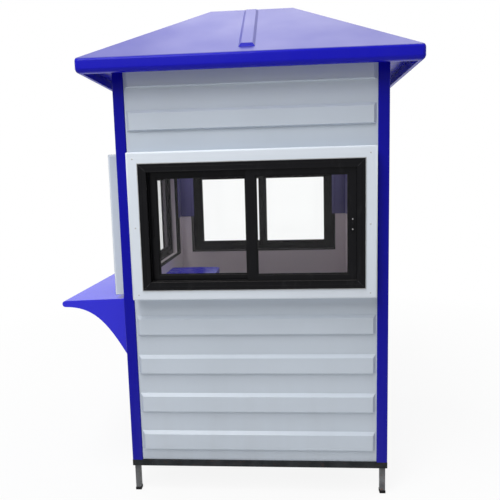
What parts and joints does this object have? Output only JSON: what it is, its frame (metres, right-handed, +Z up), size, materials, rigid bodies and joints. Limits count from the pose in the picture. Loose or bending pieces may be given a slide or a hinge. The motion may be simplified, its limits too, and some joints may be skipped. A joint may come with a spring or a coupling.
{
  "type": "security guard booth",
  "caption": "Moulded fibreglass guard booth with ribbed white walls, blue corner posts, a hipped blue roof, black sliding windows and an outside counter",
  "frame": {"origin": "on the ground, at the centre of the four legs", "axes": "front faces -Y, +X is the right side with the door seen from the front, +Z is up"},
  "size_m": [1.664, 1.46, 2.35],
  "materials": {
    "white_moulding": "white gelcoat, glossy",
    "blue_moulding": "royal blue gelcoat, glossy",
    "black_frame": "black powder coat, satin",
    "clear_glass": "clear float glass",
    "base_steel": "black paint, satin",
    "leg_steel": "grey paint, worn",
    "floor_board": "grey vinyl, matt",
    "handle_metal": "bright chrome"
  },
  "bodies": {
    "root": {"front_wall": "white_moulding", "back_wall": "white_moulding", "left_wall": "white_moulding", "right_wall": "white_moulding", "door_leaf": "white_moulding", "ceiling_panel": "white_moulding", "front_left_post": "blue_moulding", "front_right_post": "blue_moulding", "back_left_post": "blue_moulding", "back_right_post": "blue_moulding", "roof_shell": "blue_moulding", "roof_soffit": "blue_moulding", "service_counter": "blue_moulding", "writing_table": "blue_moulding", "door_frame": "black_frame", "door_window_frame": "black_frame", "front_window_frame": "black_frame", "front_window_left_sash": "black_frame", "front_window_right_sash": "black_frame", "back_window_frame": "black_frame", "back_window_left_sash": "black_frame", "back_window_right_sash": "black_frame", "left_window_frame": "black_frame", "left_window_left_sash": "black_frame", "left_window_right_sash": "black_frame", "door_glass": "clear_glass", "front_window_left_glass": "clear_glass", "front_window_right_glass": "clear_glass", "back_window_left_glass": "clear_glass", "back_window_right_glass": "clear_glass", "left_window_left_glass": "clear_glass", "left_window_right_glass": "clear_glass", "front_base_rail": "base_steel", "back_base_rail": "base_steel", "left_base_rail": "base_steel", "right_base_rail": "base_steel", "door_hinges": "base_steel", "front_left_leg": "leg_steel", "front_right_leg": "leg_steel", "back_left_leg": "leg_steel", "back_right_leg": "leg_steel", "floor_panel": "floor_board", "door_handle": "handle_metal"}
  },
  "joints": []
}
